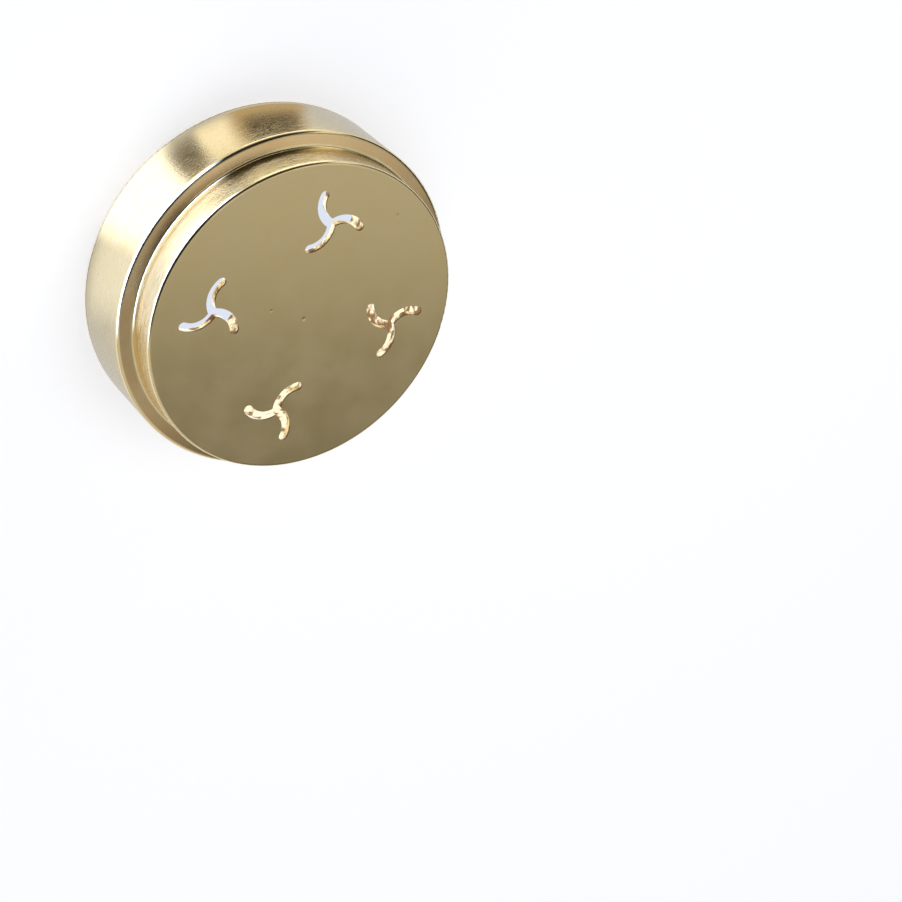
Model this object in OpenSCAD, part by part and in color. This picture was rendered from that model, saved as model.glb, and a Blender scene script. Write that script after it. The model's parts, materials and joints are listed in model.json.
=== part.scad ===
// Pasta extrusion die: one turned brass piece with three-armed outlets in its front face.
// It lies on its rear face. The origin is the centre of that face, and +Z runs along the
// die's axis to the front face. Lengths are in millimetres and angles in degrees.

/* [Body] */
// Diameter of the raised boss, which passes through the clamping ring
boss_d = 52; // [44:0.5:70]
// Height of the boss, from the shoulder to the front face
boss_h = 6; // [3:0.5:12]
// Width of the shoulder, from the boss to the outside of the flange
shoulder_w = 2.5; // [2:0.25:6]
// Height of the flange, from the rear face to its shoulder
flange_h = 12.5; // [8:0.5:20]
// Radius on the outer edges
edge_r = 0.4; // [0.1:0.1:0.6]
// Radius of the fillet at the foot of the boss
root_r = 0.5; // [0.3:0.1:1.5]

/* [Dough chamber] */
// Wall between the dough chamber and the outside of the boss
chamber_wall = 2.5; // [1.5:0.25:4]
// Thickness of the front wall that the outlets pass through
front_wall = 5; // [3:0.5:8]
// Radius in the corner between the chamber's wall and its floor
chamber_corner_r = 0.5; // [0.2:0.1:1]
// Chamfer at the chamber's mouth
chamber_lead = 1; // [0.3:0.1:2]

/* [Outlets] */
// Number of outlets
outlet_count = 4; // [2:1:4]
// Length of the land, the straight slot that shapes the dough
land_h = 1.2; // [0.8:0.1:2]
// Gap between an outlet's arm tips and the wall of the relief bore behind it
relief_gap = 0.4; // [0.2:0.1:0.8]
// Chamfer at the relief bore's mouth
relief_lead = 0.5; // [0.2:0.1:0.8]
// Flat of the chamber's floor between a relief bore's mouth and the chamber's corner
floor_margin = 0.25; // [0.1:0.05:1]

/* [Outlet arms] */
// Number of arms in an outlet
arm_count = 3; // [2:1:4]
// Width of an arm
arm_w = 1.5; // [1:0.1:2]
// Radius of an arm's centre line
arm_r = 3.75; // [3:0.05:4.25]
// Angle that an arm's centre line turns through
arm_sweep = 86; // [40:2:110]
// Angle from the outward direction to the chord of an outlet's first arm
arm_turn = 30; // [0:1:120]

/* [Hidden] */
$fn = 96;
// Overshoot of every cut past the face that it opens
over = 0.5;
brass = [0.68, 0.58, 0.38];

boss_r = boss_d / 2;
flange_r = boss_r + shoulder_w;
die_h = flange_h + boss_h;
chamber_r = boss_r - chamber_wall;
chamber_h = die_h - front_wall;

arm_chord = 2 * arm_r * sin(arm_sweep / 2);
outlet_reach = arm_chord + arm_w / 2;
relief_r = outlet_reach + relief_gap;
relief_h = front_wall - land_h;
outlet_circle_r = chamber_r - chamber_corner_r - floor_margin - relief_lead - relief_r;

// What a rounded edge lacks of a square one, with the round's centre at the origin
module edge_waste(r) {
    difference() {
        square(r + over);
        circle(r);
    }
}

// Half section of the turned blank: flange, boss, edge rounds and the fillet between them
module blank_section() {
    difference() {
        union() {
            square([flange_r, flange_h]);
            square([boss_r, die_h]);
            translate([boss_r + root_r, flange_h + root_r])
                intersection() {
                    rotate(180) edge_waste(root_r);
                    translate([-root_r, -root_r]) square(root_r);
                }
        }
        translate([flange_r - edge_r, edge_r]) mirror([0, 1]) edge_waste(edge_r);
        translate([flange_r - edge_r, flange_h - edge_r]) edge_waste(edge_r);
        translate([boss_r - edge_r, die_h - edge_r]) edge_waste(edge_r);
    }
}

// Half section of the chamber turned into the rear face
module chamber_section() {
    difference() {
        translate([0, -over]) square([chamber_r, chamber_h + over]);
        translate([chamber_r - chamber_corner_r, chamber_h - chamber_corner_r])
            edge_waste(chamber_corner_r);
    }
    polygon([
        [0, -over],
        [chamber_r + chamber_lead + over, -over],
        [chamber_r, chamber_lead],
        [0, chamber_lead],
    ]);
}

// One curved arm, from the outlet's centre along +X and bulging towards +Y
module arm(h) {
    translate([arm_chord / 2, -arm_r * cos(arm_sweep / 2), 0])
        rotate(90 - arm_sweep / 2)
            rotate_extrude(angle = arm_sweep)
                translate([arm_r - arm_w / 2, 0])
                    square([arm_w, h]);
    translate([arm_chord, 0, 0]) cylinder(d = arm_w, h = h);
}

// One outlet: its arms through the land, and the relief bore that feeds them from behind
module outlet() {
    slot_h = land_h + 2 * over;
    translate([0, 0, die_h - land_h - over]) {
        cylinder(d = arm_w, h = slot_h);
        for (i = [0 : arm_count - 1])
            rotate(arm_turn + i * 360 / arm_count) arm(slot_h);
    }
    translate([0, 0, chamber_h - over]) cylinder(r = relief_r, h = relief_h + over);
    translate([0, 0, chamber_h - over])
        cylinder(r1 = relief_r + relief_lead + over, r2 = relief_r, h = relief_lead + over);
}

// The die: a turned blank, hollowed from behind and pierced by a ring of outlets
module die_body() {
    color(brass)
        difference() {
            rotate_extrude() blank_section();
            rotate_extrude() chamber_section();
            for (i = [0 : outlet_count - 1])
                rotate(i * 360 / outlet_count)
                    translate([outlet_circle_r, 0, 0]) outlet();
        }
}

die_body();
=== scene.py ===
"""Looks of the pasta extrusion die: its brass finishes, and the floor, light and camera round it."""

import json
import math
from collections import namedtuple
from functools import partial, reduce

import bpy
from mathutils import Matrix, Vector


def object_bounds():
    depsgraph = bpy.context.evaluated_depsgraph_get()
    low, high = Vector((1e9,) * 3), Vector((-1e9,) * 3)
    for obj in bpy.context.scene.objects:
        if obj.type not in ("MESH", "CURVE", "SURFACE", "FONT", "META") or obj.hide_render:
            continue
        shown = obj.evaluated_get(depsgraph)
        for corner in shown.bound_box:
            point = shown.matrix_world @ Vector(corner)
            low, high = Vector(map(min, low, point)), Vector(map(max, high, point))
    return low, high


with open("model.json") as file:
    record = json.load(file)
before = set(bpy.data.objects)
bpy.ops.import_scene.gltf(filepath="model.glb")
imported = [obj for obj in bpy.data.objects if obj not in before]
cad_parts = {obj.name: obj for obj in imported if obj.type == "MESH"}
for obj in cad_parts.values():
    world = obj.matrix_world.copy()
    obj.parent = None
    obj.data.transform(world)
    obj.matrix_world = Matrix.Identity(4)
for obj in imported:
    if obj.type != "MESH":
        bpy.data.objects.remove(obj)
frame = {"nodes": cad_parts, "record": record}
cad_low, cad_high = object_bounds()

MM = 0.001

# Sizes of the die in millimetres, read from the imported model
mounts = {mount["name"]: mount for mount in frame["record"]["mounts"]}
FLANGE_R = mounts["flange"]["dims"]["r_mm"]
BOSS_R = mounts["boss"]["dims"]["r_mm"]
BOSS_MIDDLE = mounts["boss"]["pos_m"][2] / MM
BOSS_WALL = mounts["boss"]["dims"]["length_mm"]
SHOULDER_Z = mounts["shoulder"]["pos_m"][2] / MM
FACE_Z = cad_high.z / MM
EDGE_R = FACE_Z - (BOSS_MIDDLE + BOSS_WALL / 2)
ROOT_R = BOSS_MIDDLE - BOSS_WALL / 2 - SHOULDER_Z

# How far a spot may lie from a flat and still be on it, and how upright a flat's normal is
SEAM = 0.01
FLAT = 0.999

# Camera, in millimetres and degrees
LENS_MM = 96.61
CAMERA_PLACE = (128.34, 197.05, 310.0)
CAMERA_AIM = (-22.27, -35.75, 18.5)
CAMERA_ROLL = 133.26
CAMERA_AZIMUTH = math.degrees(math.atan2(CAMERA_PLACE[1], CAMERA_PLACE[0]))
CAMERA_NEAR = 10.0
CAMERA_FAR = 20000.0

# Sky: a dim room under a softbox, with patches placed by their turn from the camera, all in degrees
SKY_LOW = 0.15
SKY_HIGH = 0.28
SOFTBOX_FROM = 50.0
SOFTBOX_FULL = 70.0
ZENITH = 90
SkyPatch = namedtuple("SkyPatch", "turn half_width bottom top soft level")
SKY_PATCHES = [
    SkyPatch(turn=-79, half_width=68, bottom=80, top=ZENITH, soft=5, level=0.72),
    SkyPatch(turn=100, half_width=54, bottom=-8, top=58, soft=16, level=0.62),
    SkyPatch(turn=176, half_width=40, bottom=64, top=82, soft=5, level=0.55),
    SkyPatch(turn=-108, half_width=32, bottom=52, top=66, soft=6, level=0.6),
    SkyPatch(turn=-155, half_width=14, bottom=28, top=52, soft=5, level=0.34),
    SkyPatch(turn=-120, half_width=22, bottom=28, top=46, soft=4, level=0.48),
    SkyPatch(turn=-124, half_width=22, bottom=-10, top=25, soft=4, level=0.02),
    SkyPatch(turn=-89, half_width=9, bottom=-8, top=40, soft=5, level=0.9),
    SkyPatch(turn=32, half_width=48, bottom=26, top=88, soft=6, level=0.04),
    SkyPatch(turn=-6, half_width=74, bottom=20, top=60, soft=5, level=0.02),
]

# Softbox that lights the face from the side away from the camera: gap, side, shift up and brightness
KEY_GAP = 190.0
KEY_SIDE = 170.0
KEY_SHIFT = 88.0
KEY_LEVEL = 0.35

# Floor: what it shows by itself and how it takes light, also inside the chamber's mouth, where it has
# painted shade: a dimmer, cooler glow and a dark paint
FLOOR_SIDE = 4000.0
FLOOR_GLOW = (0.75, 0.78, 0.85)
FLOOR_PAINT = (0.80, 0.73, 0.58)
CHAMBER_MOUTH = 25.0
CHAMBER_SHADE_GLOW = (0.70, 0.75, 0.87)
CHAMBER_SHADE_PAINT = (0.08, 0.09, 0.10)

# Shade on the floor round the die: how far it reaches, and what is left of the glow where it is deepest
SHADE_REACH = 14.0
SHADE_LEVEL = 0.65

# Cards lying on the floor, which show only as reflections in the die
WHITE = (1.0, 1.0, 1.0)
COOL = (0.93, 1.0, 1.2)
DAYLIGHT = (0.75, 1.0, 2.0)
WARM = (1.0, 0.82, 0.6)
ALL_ROUND = 180
CARD_LIFT = 0.1
CARD_STEPS = 48
# A card's turn from the camera, half width and soft sides are in degrees, and its radii in millimetres
Card = namedtuple("Card", "name turn half_width soft inner outer fade level tint")
CARDS = [
    Card("chamber_card", 0, ALL_ROUND, 1, inner=0.0, outer=23.4, fade=1, level=1.4, tint=WHITE),
    Card("ring_card", 0, ALL_ROUND, 1, inner=27.5, outer=70, fade=1, level=0.68, tint=COOL),
    Card("wide_light_card", 22, 38, 18, inner=28.6, outer=300, fade=2, level=1.05, tint=COOL),
    Card("light_card", 8, 21, 14, inner=27.5, outer=300, fade=1, level=2.1, tint=COOL),
    Card("low_light_card", 70, 26, 12, inner=38.5, outer=60, fade=2, level=1.1, tint=WHITE),
    Card("side_light_card", -48, 24, 6, inner=39.0, outer=60, fade=2, level=2.0, tint=WHITE),
    Card("middle_light_card", -26, 9, 4, inner=28.6, outer=60, fade=2, level=1.2, tint=WHITE),
    Card("boss_light_card", -11, 9, 4, inner=39.5, outer=300, fade=1, level=2.2, tint=WHITE),
    Card("boss_dark_card", -24, 6, 3, inner=38.5, outer=48, fade=1, level=0.05, tint=WHITE),
    Card("narrow_dark_card", -13, 8, 7, inner=27.5, outer=43, fade=5, level=0.12, tint=WARM),
    Card("warm_card", -45, 17, 8, inner=27.5, outer=39, fade=1, level=0.55, tint=WARM),
    Card("wide_dark_card", -46, 13, 6, inner=29.5, outer=39.8, fade=2, level=0.04, tint=WARM),
]

# Card that stands beside the boss, lower than the face, so that only the walls and the shoulder see it
STRIP = Card("strip_card", 18, 40, 12, inner=35, outer=37, fade=0.5, level=3.6, tint=DAYLIGHT)
STRIP_LOW = 11.5
STRIP_HIGH = 18.4

# Colours of the brass, its tarnish, and the painted shade along the slots' top edges
BRASS = (0.86, 0.68, 0.34)
BRASS_PALE = (0.90, 0.74, 0.43)
# A darker, warmer copy of the brass, for the shoulder and the rear ring: painted shade
SHADED_WARM_BRASS = (0.82, 0.565, 0.27)
BRASS_DARK = (0.62, 0.45, 0.21)
BORED_PALE = (0.92, 0.80, 0.54)
TARNISH = (0.22, 0.12, 0.05)
SLOT_EDGE_SHADE = (0.10, 0.06, 0.03)

# Turning marks, as noise that changes so often across them, per millimetre, and round the axis, per radian
Streaks = namedtuple("Streaks", "across around")
FACED_RINGS = Streaks(across=4.0, around=5.0)
TURNED_STREAKS = Streaks(across=3.5, around=14.0)
TURNED_GRAIN = Streaks(across=5.0, around=130.0)
BORED_RINGS = Streaks(across=3.0, around=6.0)

# Blotches and chatter, as noise that changes so often in a millimetre, with so many finer layers
Blotches = namedtuple("Blotches", "scale detail")
FACED_BLOTCHES = Blotches(scale=0.16, detail=3.0)
BORED_BLOTCHES = Blotches(scale=0.5, detail=2.0)
BORED_CHATTER = Blotches(scale=1.3, detail=1.0)

# Spans of noise over which a finish changes
NOISE_CORE = (0.3, 0.7)
NOISE_MOST = (0.25, 0.75)
NOISE_ALL = (0.2, 0.8)
TARNISH_EDGE = (0.38, 0.53)

# Turn that draws highlights out across the turning marks, as a share of a whole turn
QUARTER_TURN = 0.25

# Faced finishes: most pale colour, changes of roughness in blotches and rings, and the marks' darkness
PALE_SHARE = 0.4
BLOTCH_ROUGHNESS = 0.03
RING_ROUGHNESS = 0.02
MARK_DARKNESS = 0.6

# Marks in the face: place in millimetres, reach and depth
Mark = namedtuple("Mark", "x y reach depth")
FACE_MARKS = [
    Mark(x=0.0, y=0.0, reach=0.45, depth=0.05),
    Mark(x=1.0, y=6.1, reach=0.30, depth=0.05),
    Mark(x=18.4, y=-11.3, reach=0.35, depth=0.02),
]
Faced = namedtuple("Faced", "name colour roughness anisotropy ring_depth marks")
FACE = Faced("faced_brass", BRASS, roughness=0.33, anisotropy=0.15, ring_depth=0.0008, marks=FACE_MARKS)
# The shoulder's brass is a darker, warmer copy of the face's: painted shade
SHOULDER = Faced("shoulder_brass", SHADED_WARM_BRASS, roughness=0.24, anisotropy=0.4, ring_depth=0.005, marks=[])

# Outward lean of the shoulder's fine grooves, as a slope, and of the fillet's shading, as a share of its own
GROOVE_LEAN = 0.22
ROOT_LEAN = 0.6

# Turned finish, with the depths of its marks in millimetres
TURNED_ROUGHNESS = (0.19, 0.28)
TURNED_ANISOTROPY = 0.65
STREAK_DEPTH = 0.012
GRAIN_DEPTH = 0.05

# Burnish of the edges: the radius that it rounds their shading to, and how far it reaches from a corner
BOSS_BURNISH_R = 0.5
FLANGE_BURNISH_R = 0.7
EDGE_REACH = 0.9
ROOT_REACH = 2.2

# Burnished edges: roughness, share left of the marks' depth, and the strength of burnish that leaves it
BURNISHED_ROUGHNESS = 0.10
BURNISHED_DEPTH = 0.1
BURNISH_FULL = 0.6

# Bored finishes: roughness, depths of the tool marks in millimetres, and the least share of clean brass
BORED_ROUGHNESS = (0.12, 0.2)
BORED_RING_DEPTH = 0.02
Bored = namedtuple("Bored", "name least_clean chatter_depth")
CHAMBER_FLOOR = Bored("chamber_brass", least_clean=0.8, chatter_depth=0.03)
BORES = Bored("bored_brass", least_clean=0.0, chatter_depth=0.18)

# Depths below the face at which the painted shade along the slots' top edges starts to thin out and ends
SLOT_EDGE_SHADE_FULL = 0.2
SLOT_EDGE_SHADE_END = 0.45


class Graph:
    """A material's or world's node tree, with short calls for the nodes used here."""

    def __init__(self, owner):
        owner.use_nodes = True
        self.tree = owner.node_tree
        self.tree.nodes.clear()

    def put(self, socket, value):
        """Links an input to another node's output, or sets it to a constant."""
        if isinstance(value, bpy.types.NodeSocket):
            self.tree.links.new(value, socket)
        else:
            socket.default_value = value

    def node(self, kind, inputs=None, **settings):
        """A new node, with its inputs given by name."""
        made = self.tree.nodes.new(kind)
        for name, value in settings.items():
            setattr(made, name, value)
        for name, value in (inputs or {}).items():
            self.put(made.inputs[name], value)
        return made

    def ordered(self, kind, values, **settings):
        """The outputs of a new node, with its inputs given in their order."""
        made = self.node(kind, **settings)
        for socket, value in zip(made.inputs, values):
            self.put(socket, value)
        return made.outputs

    def math(self, operation, *values):
        return self.ordered("ShaderNodeMath", values, operation=operation)["Value"]

    def vector(self, operation, *values):
        """The vector that an operation on vectors gives."""
        return self.ordered("ShaderNodeVectorMath", values, operation=operation)["Vector"]

    def measure(self, operation, *values):
        """The number that an operation on vectors gives."""
        return self.ordered("ShaderNodeVectorMath", values, operation=operation)["Value"]

    def total(self, *values):
        """The sum of several numbers."""
        return reduce(partial(self.math, "ADD"), values)

    def product(self, *values):
        """The product of several numbers."""
        return reduce(partial(self.math, "MULTIPLY"), values)

    def past(self, value, start):
        """How far value is past start, and nothing before it."""
        return self.math("MAXIMUM", self.math("SUBTRACT", value, start), 0.0)

    def step(self, value, start, end, low=0.0, high=1.0):
        """A smooth step from low to high as value goes from start to end."""
        inputs = {"Value": value, "From Min": start, "From Max": end, "To Min": low, "To Max": high}
        made = self.node("ShaderNodeMapRange", inputs, interpolation_type="SMOOTHSTEP", clamp=True)
        return made.outputs["Result"]

    def split(self, vector):
        return self.node("ShaderNodeSeparateXYZ", {"Vector": vector}).outputs

    def join(self, x, y, z):
        return self.node("ShaderNodeCombineXYZ", {"X": x, "Y": y, "Z": z}).outputs["Vector"]

    def between(self, data_type, ending, share, first, second):
        """A mix of two values, whose sockets' identifiers have the given ending."""
        made = self.node("ShaderNodeMix", data_type=data_type)
        inputs = {socket.identifier: socket for socket in made.inputs}
        outputs = {socket.identifier: socket for socket in made.outputs}
        self.put(inputs["Factor_Float"], share)
        self.put(inputs["A_" + ending], first)
        self.put(inputs["B_" + ending], second)
        return outputs["Result_" + ending]

    def mix(self, share, first, second):
        """A colour between two others."""
        return self.between("RGBA", "Color", share, first, second)

    def blend(self, share, first, second):
        """A number between two others."""
        return self.between("FLOAT", "Float", share, first, second)

    def noise(self, vector, scale=1.0, detail=2.0):
        """Noise about 0.5 that runs from about 0.25 to 0.75."""
        inputs = {"Vector": vector, "Scale": scale, "Detail": detail}
        return self.node("ShaderNodeTexNoise", inputs).outputs[0]

    def emission(self, colour, strength):
        return self.node("ShaderNodeEmission", {"Color": colour, "Strength": strength}).outputs["Emission"]

    def clear(self):
        """A shader that lets all light through."""
        return self.node("ShaderNodeBsdfTransparent").outputs["BSDF"]

    def add_shaders(self, first, second):
        return self.ordered("ShaderNodeAddShader", (first, second))["Shader"]

    def mix_shaders(self, share, first, second):
        return self.ordered("ShaderNodeMixShader", (share, first, second))["Shader"]

    def finish(self, shader, kind="ShaderNodeOutputMaterial"):
        """Makes a shader the tree's surface."""
        self.node(kind, {"Surface": shader})


def rgba(colour):
    return (*colour, 1.0)


def grey(level):
    return (level, level, level, 1.0)


# Brass


class Lathe:
    """A point of the surface as a lathe sees it, in millimetres: radius, height and way outward."""

    def __init__(self, graph):
        self.graph = graph
        metres = graph.node("ShaderNodeTexCoord").outputs["Object"]
        self.place = graph.vector("MULTIPLY", metres, (1 / MM, 1 / MM, 1 / MM))
        x, y, self.z = graph.split(self.place)
        flat = graph.join(x, y, 0.0)
        self.r = graph.measure("LENGTH", flat)
        self.outward = graph.vector("NORMALIZE", flat)
        self.outward_x, self.outward_y = graph.split(self.outward)[:2]

    def aim(self, out, up):
        """A vector that goes so far out from the axis and so far up."""
        graph = self.graph
        x = graph.math("MULTIPLY", self.outward_x, out)
        y = graph.math("MULTIPLY", self.outward_y, out)
        return graph.join(x, y, up)

    def streaks(self, marks):
        """Noise drawn out along the turning marks."""
        graph = self.graph
        across = graph.math("MULTIPLY", graph.math("SUBTRACT", self.r, self.z), marks.across)
        return graph.noise(self.aim(marks.around, across))

    def turned_normal(self):
        """The normal that the turned outside is shaded with: burnished edges, leaning fillet and grooves."""
        graph = self.graph
        boss_out = graph.past(self.r, BOSS_R - BOSS_BURNISH_R)
        boss_up = graph.past(self.z, FACE_Z - BOSS_BURNISH_R)
        root_out = graph.math("MULTIPLY", graph.math("SUBTRACT", BOSS_R + ROOT_R, self.r), ROOT_LEAN)
        root_up = graph.math("SUBTRACT", SHOULDER_Z + ROOT_R, self.z)
        flange_edge = graph.math("SUBTRACT", self.r, FLANGE_R - FLANGE_BURNISH_R)
        flange_out = graph.math("MAXIMUM", flange_edge, FLANGE_BURNISH_R * GROOVE_LEAN)
        upper_edge = graph.past(self.z, SHOULDER_Z - FLANGE_BURNISH_R)
        lower_edge = graph.past(FLANGE_BURNISH_R, self.z)
        flange_up = graph.math("SUBTRACT", upper_edge, lower_edge)
        on_boss = graph.math("GREATER_THAN", self.z, SHOULDER_Z + ROOT_R)
        over_flange = graph.math("GREATER_THAN", self.z, SHOULDER_Z + SEAM)
        out = graph.blend(over_flange, flange_out, graph.blend(on_boss, root_out, boss_out))
        up = graph.blend(over_flange, flange_up, graph.blend(on_boss, root_up, boss_up))
        in_world = graph.node(
            "ShaderNodeVectorTransform",
            {"Vector": graph.vector("NORMALIZE", self.aim(out, up))},
            vector_type="NORMAL",
            convert_from="OBJECT",
            convert_to="WORLD",
        )
        return in_world.outputs["Vector"]

    def near_circle(self, radius, height, reach):
        """One on a circle round the axis, falling to nothing at reach from it."""
        graph = self.graph
        off = graph.join(graph.math("SUBTRACT", self.r, radius), graph.math("SUBTRACT", self.z, height), 0.0)
        return graph.step(graph.measure("LENGTH", off), 0.0, reach, 1.0, 0.0)

    def near_point(self, point, reach):
        """One at a point, falling to nothing at reach from it."""
        graph = self.graph
        return graph.step(graph.measure("DISTANCE", self.place, point), 0.0, reach, 1.0, 0.0)


def brass_shader(graph, colour, roughness, anisotropy, height, normal=None):
    """Brass with highlights drawn out across its turning marks, and bump of a height in millimetres."""
    bump = graph.node("ShaderNodeBump", {"Strength": 1.0, "Distance": MM, "Height": height})
    if normal is not None:
        graph.put(bump.inputs["Normal"], normal)
    tangent = graph.node("ShaderNodeTangent", direction_type="RADIAL", axis="Z")
    shader = graph.node(
        "ShaderNodeBsdfPrincipled",
        {
            "Base Color": colour,
            "Metallic": 1.0,
            "Roughness": roughness,
            "Anisotropic": anisotropy,
            "Anisotropic Rotation": QUARTER_TURN,
            "Tangent": tangent.outputs["Tangent"],
            "Normal": bump.outputs["Normal"],
        },
    )
    graph.finish(shader.outputs["BSDF"])


def faced_brass(finish):
    """A flat of the die: a satin cut with faint rings and blotches, and any small marks that it has."""
    material = bpy.data.materials.new(finish.name)
    graph = Graph(material)
    lathe = Lathe(graph)
    rings = lathe.streaks(FACED_RINGS)
    blotches = graph.noise(lathe.place, *FACED_BLOTCHES)
    pale = graph.step(blotches, *NOISE_CORE, 0.0, PALE_SHARE)
    colour = graph.mix(pale, rgba(finish.colour), rgba(BRASS_PALE))
    roughness = graph.total(
        finish.roughness,
        graph.step(blotches, *NOISE_CORE, -BLOTCH_ROUGHNESS, BLOTCH_ROUGHNESS),
        graph.step(rings, *NOISE_ALL, -RING_ROUGHNESS, RING_ROUGHNESS),
    )
    height = graph.math("MULTIPLY", rings, finish.ring_depth)
    for mark in finish.marks:
        near = lathe.near_point((mark.x, mark.y, FACE_Z), mark.reach)
        height = graph.math("SUBTRACT", height, graph.math("MULTIPLY", near, mark.depth))
        colour = graph.mix(graph.math("MULTIPLY", near, MARK_DARKNESS), colour, rgba(BRASS_DARK))
    brass_shader(graph, colour, roughness, finish.anisotropy, height, lathe.turned_normal())
    return material


def turned_brass():
    """The outer walls and edges: bright brass with streaks round it, a fine grain and burnished edges."""
    material = bpy.data.materials.new("turned_brass")
    graph = Graph(material)
    lathe = Lathe(graph)
    streaks = lathe.streaks(TURNED_STREAKS)
    grain = lathe.streaks(TURNED_GRAIN)
    colour = graph.mix(graph.step(streaks, *NOISE_CORE), rgba(BRASS), rgba(BRASS_PALE))
    burnish = lathe.near_circle(BOSS_R, SHOULDER_Z, ROOT_REACH)
    for edge_r, edge_z in ((BOSS_R, FACE_Z), (FLANGE_R, SHOULDER_Z), (FLANGE_R, 0.0)):
        burnish = graph.math("MAXIMUM", burnish, lathe.near_circle(edge_r, edge_z, EDGE_REACH))
    roughness = graph.step(streaks, *NOISE_MOST, *TURNED_ROUGHNESS)
    roughness = graph.blend(burnish, roughness, BURNISHED_ROUGHNESS)
    height = graph.total(
        graph.math("MULTIPLY", streaks, STREAK_DEPTH),
        graph.math("MULTIPLY", grain, GRAIN_DEPTH),
    )
    height = graph.math("MULTIPLY", height, graph.step(burnish, 0.0, BURNISH_FULL, 1.0, BURNISHED_DEPTH))
    brass_shader(graph, colour, roughness, TURNED_ANISOTROPY, height, lathe.turned_normal())
    return material


def bored_brass(finish):
    """The die's inside: brass with coarse tool marks and brown tarnish, and painted shade along the slots'
    top edges.
    """
    material = bpy.data.materials.new(finish.name)
    graph = Graph(material)
    lathe = Lathe(graph)
    rings = lathe.streaks(BORED_RINGS)
    chatter = graph.noise(lathe.place, *BORED_CHATTER)
    blotches = graph.noise(lathe.place, *BORED_BLOTCHES)
    clean = graph.step(blotches, *TARNISH_EDGE, finish.least_clean, 1.0)
    colour = graph.mix(clean, rgba(TARNISH), rgba(BORED_PALE))
    # Painted shade: a dark band along the top of the slots' walls, just under the face
    edge_shade = graph.step(lathe.z, FACE_Z - SLOT_EDGE_SHADE_END, FACE_Z - SLOT_EDGE_SHADE_FULL)
    colour = graph.mix(edge_shade, colour, rgba(SLOT_EDGE_SHADE))
    roughness = graph.step(rings, *NOISE_MOST, *BORED_ROUGHNESS)
    height = graph.total(
        graph.math("MULTIPLY", rings, BORED_RING_DEPTH),
        graph.math("MULTIPLY", chatter, finish.chatter_depth),
    )
    brass_shader(graph, colour, roughness, 0.0, height)
    return material


def finish_name(face):
    """Which finish a face of the die has, by where it lies and which way it looks."""
    spot = face.center / MM
    outward = face.normal.x * spot.x + face.normal.y * spot.y
    if face.normal.z > FLAT and abs(spot.z - FACE_Z) < SEAM:
        return "face"
    if abs(face.normal.z) > FLAT and min(abs(spot.z), abs(spot.z - SHOULDER_Z)) < SEAM:
        return "shoulder"
    if outward > 0 and math.hypot(spot.x, spot.y) > BOSS_R - EDGE_R - SEAM:
        return "turned"
    if face.normal.z < -FLAT:
        return "chamber"
    return "bored"


def dress_die(die):
    """Gives each face of the die its finish, with the shoulder's on the rear ring too."""
    finishes = {
        "face": faced_brass(FACE),
        "shoulder": faced_brass(SHOULDER),
        "turned": turned_brass(),
        "chamber": bored_brass(CHAMBER_FLOOR),
        "bored": bored_brass(BORES),
    }
    slots = {name: slot for slot, name in enumerate(finishes)}
    mesh = die.data
    mesh.materials.clear()
    for finish in finishes.values():
        mesh.materials.append(finish)
    for face in mesh.polygons:
        face.material_index = slots[finish_name(face)]


# Floor, cards, light, sky and camera


def add_mesh(name, corners, faces, material):
    """A piece of the stage, with its corners in millimetres."""
    mesh = bpy.data.meshes.new(name)
    mesh.from_pydata([Vector(corner) * MM for corner in corners], [], faces)
    mesh.materials.append(material)
    made = bpy.data.objects.new(name, mesh)
    bpy.context.scene.collection.objects.link(made)
    return made


def floor_material():
    """Pale to the camera and in reflections, lit in part, shaded close to the die, with painted cool shade
    under it, and clear from below.
    """
    material = bpy.data.materials.new("floor")
    graph = Graph(material)
    path = graph.node("ShaderNodeLightPath").outputs
    seen = graph.total(path["Is Camera Ray"], path["Is Glossy Ray"], path["Is Transmission Ray"])
    seen = graph.math("MINIMUM", seen, 1.0)
    outside = graph.step(Lathe(graph).r, CHAMBER_MOUTH, FLANGE_R)
    open_sky = graph.node("ShaderNodeAmbientOcclusion", {"Distance": SHADE_REACH * MM}).outputs["AO"]
    shade = graph.blend(outside, 1.0, graph.step(open_sky, 0.0, 1.0, SHADE_LEVEL, 1.0))
    # Painted shade: under the die the glow is dimmer and cooler, and the paint is dark
    colour = graph.mix(outside, rgba(CHAMBER_SHADE_GLOW), rgba(FLOOR_GLOW))
    glow = graph.emission(colour, graph.math("MULTIPLY", seen, shade))
    paint = graph.mix(outside, rgba(CHAMBER_SHADE_PAINT), rgba(FLOOR_PAINT))
    lit = graph.node("ShaderNodeBsdfDiffuse", {"Color": paint}).outputs["BSDF"]
    below = graph.node("ShaderNodeNewGeometry").outputs["Backfacing"]
    graph.finish(graph.mix_shaders(below, graph.add_shaders(glow, lit), graph.clear()))
    return material


def make_floor():
    half = FLOOR_SIDE / 2
    corners = [(-half, -half, 0), (half, -half, 0), (half, half, 0), (-half, half, 0)]
    add_mesh("floor", corners, [(0, 1, 2, 3)], floor_material())


def facing(graph, flat_way, sector):
    """One in a sector about a turn from the camera's azimuth, falling to nothing over its soft sides."""
    if sector.half_width >= ALL_ROUND:
        return 1.0
    angle = math.radians(CAMERA_AZIMUTH + sector.turn)
    middle = (math.cos(angle), math.sin(angle), 0.0)
    cosine = graph.measure("DOT_PRODUCT", flat_way, middle)
    outside = math.cos(math.radians(sector.half_width))
    inside = math.cos(math.radians(max(sector.half_width - sector.soft, 0)))
    return graph.step(cosine, outside, inside)


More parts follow.
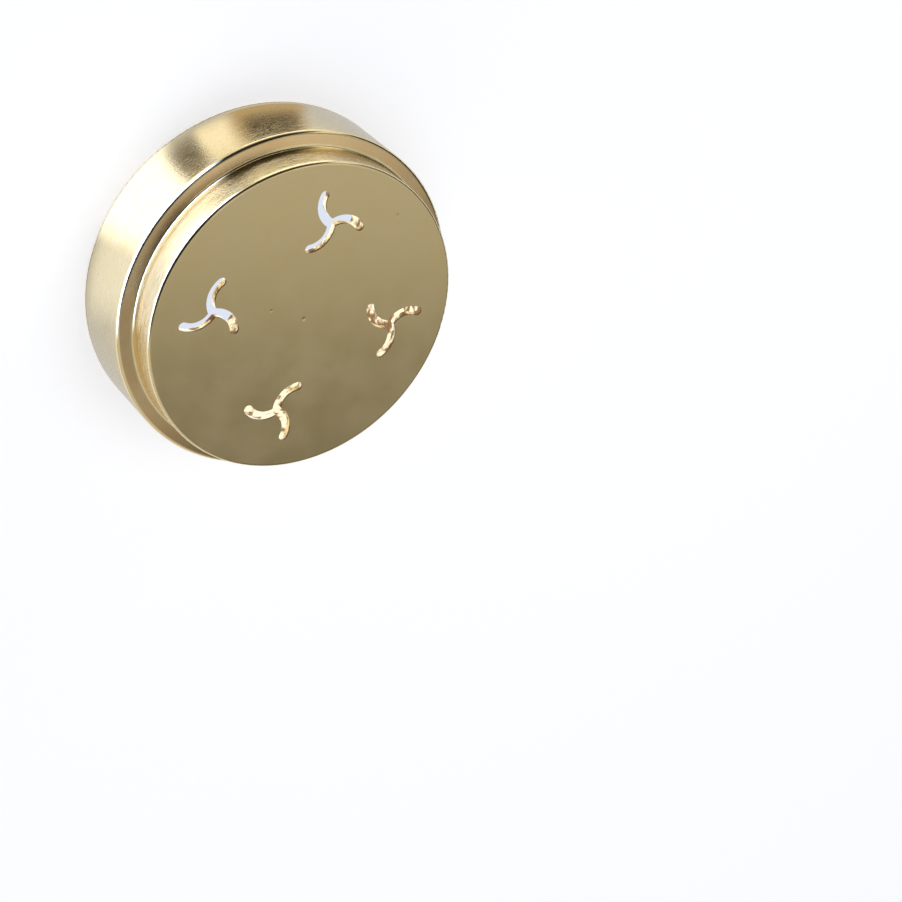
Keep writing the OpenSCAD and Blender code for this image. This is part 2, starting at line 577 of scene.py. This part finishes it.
def card_material(card):
    """A glow between the card's two radii, clear past them and past its soft sides."""
    material = bpy.data.materials.new(card.name)
    graph = Graph(material)
    lathe = Lathe(graph)
    near = graph.step(lathe.r, card.inner, card.inner + card.fade)
    far = graph.step(lathe.r, card.outer - card.fade, card.outer, 1.0, 0.0)
    share = graph.product(facing(graph, lathe.outward, card), near, far)
    glow = graph.emission(rgba(card.tint), card.level)
    graph.finish(graph.mix_shaders(share, graph.clear(), glow))
    return material


def add_card(card, sides):
    """A card between two sides, each a radius and a height, bent round the die's axis."""
    corners = []
    for step in range(CARD_STEPS + 1):
        turn = card.turn + card.half_width * (2 * step / CARD_STEPS - 1)
        angle = math.radians(CAMERA_AZIMUTH + turn)
        for radius, height in sides:
            corners.append((radius * math.cos(angle), radius * math.sin(angle), height))
    faces = [(2 * i, 2 * i + 1, 2 * i + 3, 2 * i + 2) for i in range(CARD_STEPS)]
    made = add_mesh(card.name, corners, faces, card_material(card))
    made.visible_camera = False
    made.visible_diffuse = False
    made.visible_transmission = False
    made.visible_shadow = False


def make_cards():
    """The cards on the floor, each a little higher than the last, and the one that stands."""
    for layer, card in enumerate(CARDS, 1):
        height = CARD_LIFT * layer
        add_card(card, ((card.inner, height), (card.outer, height)))
    strip_r = (STRIP.inner + STRIP.outer) / 2
    add_card(STRIP, ((strip_r, STRIP_LOW), (strip_r, STRIP_HIGH)))


def make_key():
    """A softbox that the face reflects to the camera, so high that the face darkens towards the bottom."""
    centre = Vector((0.0, 0.0, FACE_Z))
    to_camera = (Vector(CAMERA_PLACE) - centre).normalized()
    mirrored = Vector((-to_camera.x, -to_camera.y, to_camera.z))
    picture_right = camera_turn() @ Vector((1.0, 0.0, 0.0))
    up_the_face = Vector((-picture_right.y, picture_right.x, 0.0)).normalized()
    up = (up_the_face - up_the_face.dot(mirrored) * mirrored).normalized()
    across = up.cross(mirrored)
    place = centre + KEY_GAP * mirrored + KEY_SHIFT * up
    side = KEY_SIDE * MM
    data = bpy.data.lights.new("key", "AREA")
    data.shape = "SQUARE"
    data.size = side
    data.energy = KEY_LEVEL * math.pi * side * side
    key = bpy.data.objects.new("key", data)
    bpy.context.scene.collection.objects.link(key)
    turn = Matrix((across, up, mirrored)).transposed()
    key.matrix_world = Matrix.Translation(place * MM) @ turn.to_4x4()
    key.visible_camera = False


def over_elevations(graph, height, start, end, low=0.0, high=1.0):
    """A smooth step between two elevations in degrees, where height is the sine of an elevation."""
    return graph.step(height, math.sin(math.radians(start)), math.sin(math.radians(end)), low, high)


def make_world():
    """The sky, with each patch laid over those before it."""
    world = bpy.data.worlds.new("studio")
    bpy.context.scene.world = world
    graph = Graph(world)
    x, y, height = graph.split(graph.node("ShaderNodeTexCoord").outputs["Generated"])
    flat_way = graph.vector("NORMALIZE", graph.join(x, y, 0.0))
    overhead = over_elevations(graph, height, SOFTBOX_FROM, SOFTBOX_FULL)
    sky = graph.mix(overhead, grey(SKY_LOW), grey(SKY_HIGH))
    for patch in SKY_PATCHES:
        above = over_elevations(graph, height, patch.bottom - patch.soft, patch.bottom + patch.soft)
        share = graph.product(facing(graph, flat_way, patch), above)
        if patch.top < ZENITH:
            below = over_elevations(graph, height, patch.top - patch.soft, patch.top + patch.soft, 1.0, 0.0)
            share = graph.product(share, below)
        sky = graph.mix(share, sky, grey(patch.level))
    background = graph.node("ShaderNodeBackground", {"Color": sky, "Strength": 1.0})
    graph.finish(background.outputs["Background"], "ShaderNodeOutputWorld")


def camera_turn():
    """The camera's turn: towards its aim, and rolled about its line of sight."""
    level = (Vector(CAMERA_AIM) - Vector(CAMERA_PLACE)).to_track_quat("-Z", "Y").to_matrix()
    return level @ Matrix.Rotation(math.radians(CAMERA_ROLL), 3, "Z")


def make_camera():
    data = bpy.data.cameras.new("camera")
    data.lens = LENS_MM
    data.clip_start = CAMERA_NEAR * MM
    data.clip_end = CAMERA_FAR * MM
    camera = bpy.data.objects.new("camera", data)
    bpy.context.scene.collection.objects.link(camera)
    camera.matrix_world = Matrix.Translation(Vector(CAMERA_PLACE) * MM) @ camera_turn().to_4x4()
    bpy.context.scene.camera = camera


bpy.context.scene.view_settings.view_transform = "Standard"
make_camera()
make_world()
make_key()
make_floor()
make_cards()

die = frame["nodes"]["die_body"]
dress_die(die)
